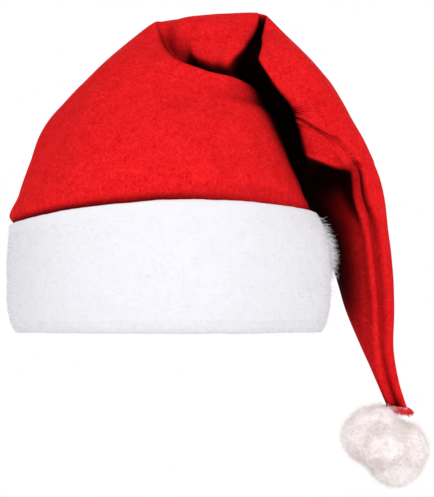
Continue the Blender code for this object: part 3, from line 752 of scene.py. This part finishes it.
# Fine fibres of the pompom. One whose points at these shares of it come near the tail's end is left
# out.
POMPOM_FIBRES = 33000
POMPOM_FIBRE_LENGTH = (0.0018, 0.0052)
POMPOM_FIBRE_WIDTH = 0.00012
POMPOM_FIBRE_SINK = 0.0008
POMPOM_FIBRE_BEND = 0.0010
POMPOM_FIBRE_LIFT = 0.8
POMPOM_FIBRE_SPREAD = 0.45
CLEAR_FROM = -0.0045
CLEAR_RADIUS = 0.0078
CLEAR_SHARES = (0.4, 0.7, 1.0)

# The tail's raw end: torn felt fibres, and the stitches over its near side. The arc is in degrees.
FRAYED_FIBRES = 700
FRAYED_LENGTH = (0.0030, 0.0075)
FRAYED_WIDTH = (0.0004, 0.0012)
FRAYED_FLARE = 0.55
FRAYED_SPREAD = 0.3
FRAYED_SINK = 0.0020
FRAYED_OUT = 0.0002
FRAYED_BEND = 0.0004
STITCHES = 260
STITCH_ARC = (20, 190)
STITCH_LENGTH = (0.0018, 0.0045)
STITCH_WIDTH = 0.00036
STITCH_RISE = 0.12
STITCH_OUT = 0.0016
STITCH_DOWN = 0.0012
STITCH_LIFT = 0.0003
STITCH_SPREAD = 0.5
STITCH_BEND = 0.0005


def lobed_reach(directions):
    """How far the pompom's softly blended lobes reach in each direction."""
    lobes = np.array(LOBES)
    along = directions @ lobes[:, :3].T
    inside = lobes[:, 3] ** 2 - (lobes[:, :3] ** 2).sum(axis=1) + along**2
    far = along + np.sqrt(np.maximum(inside, 0))
    share = np.exp((far - far.max(axis=1, keepdims=True)) / LOBE_BLEND)
    share = share / share.sum(axis=1, keepdims=True)
    return (share * far).sum(axis=1)


def build_pompom(material, draw):
    """A soft lobed ball, with short fine fibres standing off it every way."""
    centre = np.array(POMPOM_CENTRE)
    mesh = bpy.data.meshes.new("pompom_core")
    shape = bmesh.new()
    bmesh.ops.create_icosphere(shape, subdivisions=POMPOM_CORE_DETAIL, radius=1)
    shape.to_mesh(mesh)
    shape.free()
    directions = np.array([v.co.normalized()[:] for v in mesh.vertices])
    surface = directions * lobed_reach(directions)[:, None] * POMPOM_CORE_SHARE
    for i, (size, amount) in enumerate(POMPOM_WAVES):
        surface = surface + directions * (field(surface, size, 13 * i + 4) * amount)[:, None]
    along, away = from_tail_end(centre + surface)
    dimple = DIMPLE_DEPTH * np.exp(-((away / DIMPLE_WIDTH) ** 2)) * smooth_step(*DIMPLE_START, along)
    surface = surface - directions * dimple[:, None]
    mesh.vertices.foreach_set("co", (centre + surface).ravel())
    mesh.update()
    mesh.shade_smooth()
    core = bpy.data.objects.new("pompom_core", mesh)
    bpy.context.scene.collection.objects.link(core)
    mesh.materials.append(material)
    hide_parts("pompom")
    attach(core, "root")
    pick = draw.integers(0, len(surface), POMPOM_FIBRES)
    roots = centre + surface[pick] - directions[pick] * POMPOM_FIBRE_SINK
    heading = unit(directions[pick] * POMPOM_FIBRE_LIFT + draw.normal(size=roots.shape) * POMPOM_FIBRE_SPREAD)
    length = draw.uniform(*POMPOM_FIBRE_LENGTH, (POMPOM_FIBRES, 1))
    tips = roots + heading * length
    clear = tail_clear(tips, roots)
    width = np.full(int(clear.sum()), POMPOM_FIBRE_WIDTH)
    strands("pompom_fibres", roots[clear], tips[clear], width, POMPOM_FIBRE_BEND, draw, material)


def loop_index(angle):
    """The step round a fine loop that lies at an angle."""
    return (angle / (2 * math.pi) * LOOP_STEPS).astype(int) % LOOP_STEPS


def build_frayed_end(frays, thread, draw):
    """Raw felt fibres past the tail's last row, and the stitches that hold the pompom on it."""
    index = loop_index(draw.uniform(0, 2 * math.pi, FRAYED_FIBRES))
    loops = crown_loops(np.linspace(0, 2 * math.pi, LOOP_STEPS, endpoint=False))[0]
    end, before = loops[-1], loops[-1 - ROW_STEPS]
    run = unit((end - before).mean(axis=0))
    out = unit(end - end.mean(axis=0))
    roots = end[index] - run * FRAYED_SINK + out[index] * FRAYED_OUT
    heading = unit(run + out[index] * FRAYED_FLARE + draw.normal(size=roots.shape) * FRAYED_SPREAD)
    length = draw.uniform(*FRAYED_LENGTH, (FRAYED_FIBRES, 1))
    width = draw.uniform(*FRAYED_WIDTH, FRAYED_FIBRES)
    strands("tail_frayed_end", roots, roots + heading * length, width, FRAYED_BEND, draw, frays)
    index = loop_index(np.radians(draw.uniform(*STITCH_ARC, STITCHES)))
    share = draw.uniform(0.0, 1.0, (STITCHES, 1)) ** 1.5
    out = out[index]
    place = end[index] + (before - end)[index] * share * STITCH_RISE + out * STITCH_OUT + run * STITCH_DOWN
    across = unit(np.cross(out, run) + draw.normal(size=place.shape) * STITCH_SPREAD)
    across = across - out * np.sum(across * out, axis=1, keepdims=True)
    half = across * draw.uniform(*STITCH_LENGTH, (STITCHES, 1)) / 2
    width = np.full(STITCHES, STITCH_WIDTH)
    strands("tail_stitches", place - half, place + half + out * STITCH_LIFT, width, STITCH_BEND, draw,
            thread)


def from_tail_end(points):
    """How far each point lies up the tail from its end, and how far off the tail's middle line."""
    low, high = np.array(TAIL_END_LOW), np.array(TAIL_END_HIGH)
    run = unit(high - low)
    along = (points - low) @ run
    return along, np.linalg.norm(points - low - along[:, None] * run, axis=1)


def tail_clear(tips, roots):
    """True where a strand stays out of the tail, which runs into the pompom's top."""
    clear = np.ones(len(roots), dtype=bool)
    for share in CLEAR_SHARES:
        along, away = from_tail_end(roots + (tips - roots) * share)
        clear &= (along < CLEAR_FROM) | (away > CLEAR_RADIUS)
    return clear


# White plush, from its darker clumps to its lighter ones, and the shade painted into its colour between locks,
# warm on the pompom
BAND_WHITES = ((0.630, 0.622, 0.655, 1), (0.648, 0.640, 0.674, 1))
BAND_PAINTED_SHADE = (0.80, 0.78, 0.78, 1)
POMPOM_WHITES = ((0.80, 0.77, 0.78, 1), (0.87, 0.85, 0.87, 1))
POMPOM_PAINTED_SHADE = (0.76, 0.64, 0.57, 1)

# Square lights: name, place, size in metres and power in watts
LIGHTS = (
    ("key", (0.80, -1.27, 0.58), 0.5, 13.0),
    ("fill", (-1.15, -1.0, 0.30), 0.7, 8.8),
    ("back", (0.2, 1.6, 0.9), 1.2, 16),
)
AMBIENT = 0.58


def aim_at(obj, place, target):
    """Put an object at a place and turn its -Z towards the target."""
    obj.location = place
    obj.rotation_mode = "QUATERNION"
    obj.rotation_quaternion = (Vector(target) - Vector(place)).to_track_quat("-Z", "Y")


def build_camera():
    """The photo's view."""
    camera = bpy.data.objects.new("camera", bpy.data.cameras.new("camera"))
    bpy.context.scene.collection.objects.link(camera)
    camera.data.lens = CAMERA_LENS
    camera.data.sensor_width = 36
    aim_at(camera, CAMERA_PLACE, CAMERA_AIM)
    bpy.context.scene.camera = camera


def add_area(name, place, size, power):
    """A white square light that faces the hat."""
    light = bpy.data.lights.new(name, "AREA")
    light.size = size
    light.energy = power
    obj = bpy.data.objects.new(name, light)
    bpy.context.scene.collection.objects.link(obj)
    aim_at(obj, place, CAMERA_AIM)


def build_stage():
    """A plain pale floor well below the hat, which is held up as a head holds it."""
    mesh = bpy.data.meshes.new("floor")
    corners = [(x * FLOOR_HALF, y * FLOOR_HALF, FLOOR_Z) for x, y in ((-1, -1), (1, -1), (1, 1), (-1, 1))]
    mesh.from_pydata(corners, [], [(0, 1, 2, 3)])
    floor = bpy.data.objects.new("floor", mesh)
    bpy.context.scene.collection.objects.link(floor)
    material = bpy.data.materials.new("pale_floor")
    material.use_nodes = True
    shader = material.node_tree.nodes["Principled BSDF"]
    shader.inputs["Base Color"].default_value = (0.86, 0.86, 0.86, 1)
    shader.inputs["Roughness"].default_value = 0.9
    mesh.materials.append(material)


def build_world():
    """White behind everything the camera sees, and a low even light on the object."""
    world = bpy.data.worlds.new("studio")
    bpy.context.scene.world = world
    world.use_nodes = True
    tree = world.node_tree
    ambient = tree.nodes["Background"]
    ambient.inputs["Color"].default_value = (1, 1, 1, 1)
    ambient.inputs["Strength"].default_value = AMBIENT
    seen = tree.nodes.new("ShaderNodeBackground")
    seen.inputs["Color"].default_value = (1, 1, 1, 1)
    seen.inputs["Strength"].default_value = 1.0
    path = tree.nodes.new("ShaderNodeLightPath")
    mix = tree.nodes.new("ShaderNodeMixShader")
    tree.links.new(path.outputs["Is Camera Ray"], mix.inputs["Fac"])
    tree.links.new(ambient.outputs["Background"], mix.inputs[1])
    tree.links.new(seen.outputs["Background"], mix.inputs[2])
    tree.links.new(mix.outputs["Shader"], tree.nodes["World Output"].inputs["Surface"])


def main():
    """Build the whole scene."""
    draw = np.random.default_rng(5)
    build_camera()
    build_stage()
    build_world()
    for light in LIGHTS:
        add_area(*light)
    bpy.context.scene.view_settings.view_transform = "Standard"
    felt = felt_material()
    # Both plush materials carry painted shade between locks and a painted glow
    plush = plush_material("white_plush_looks", *BAND_WHITES, size=160, relief=0.0004, painted_glow=0.10,
                           painted_nook_shade=BAND_PAINTED_SHADE, painted_nook_reach=0.004)
    wool = plush_material("pompom_plush_looks", *POMPOM_WHITES, size=260, relief=0.0006, painted_glow=0.12,
                          painted_nook_shade=POMPOM_PAINTED_SHADE, painted_nook_reach=0.014)
    build_panel("crown_front_felt", "crown_front", True, FRONT_FINE, felt)
    build_panel("crown_back_felt", "crown_back", False, BACK_FINE, felt)
    build_band(plush, draw)
    build_pompom(wool, draw)
    frays = new_material("frayed_felt_looks", (0.78, 0.03, 0.04, 1), 0.9, 0.0)[0]
    thread = new_material("pink_thread_looks", (0.90, 0.45, 0.48, 1), 0.9, 0.0)[0]
    build_frayed_end(frays, thread, draw)


main()
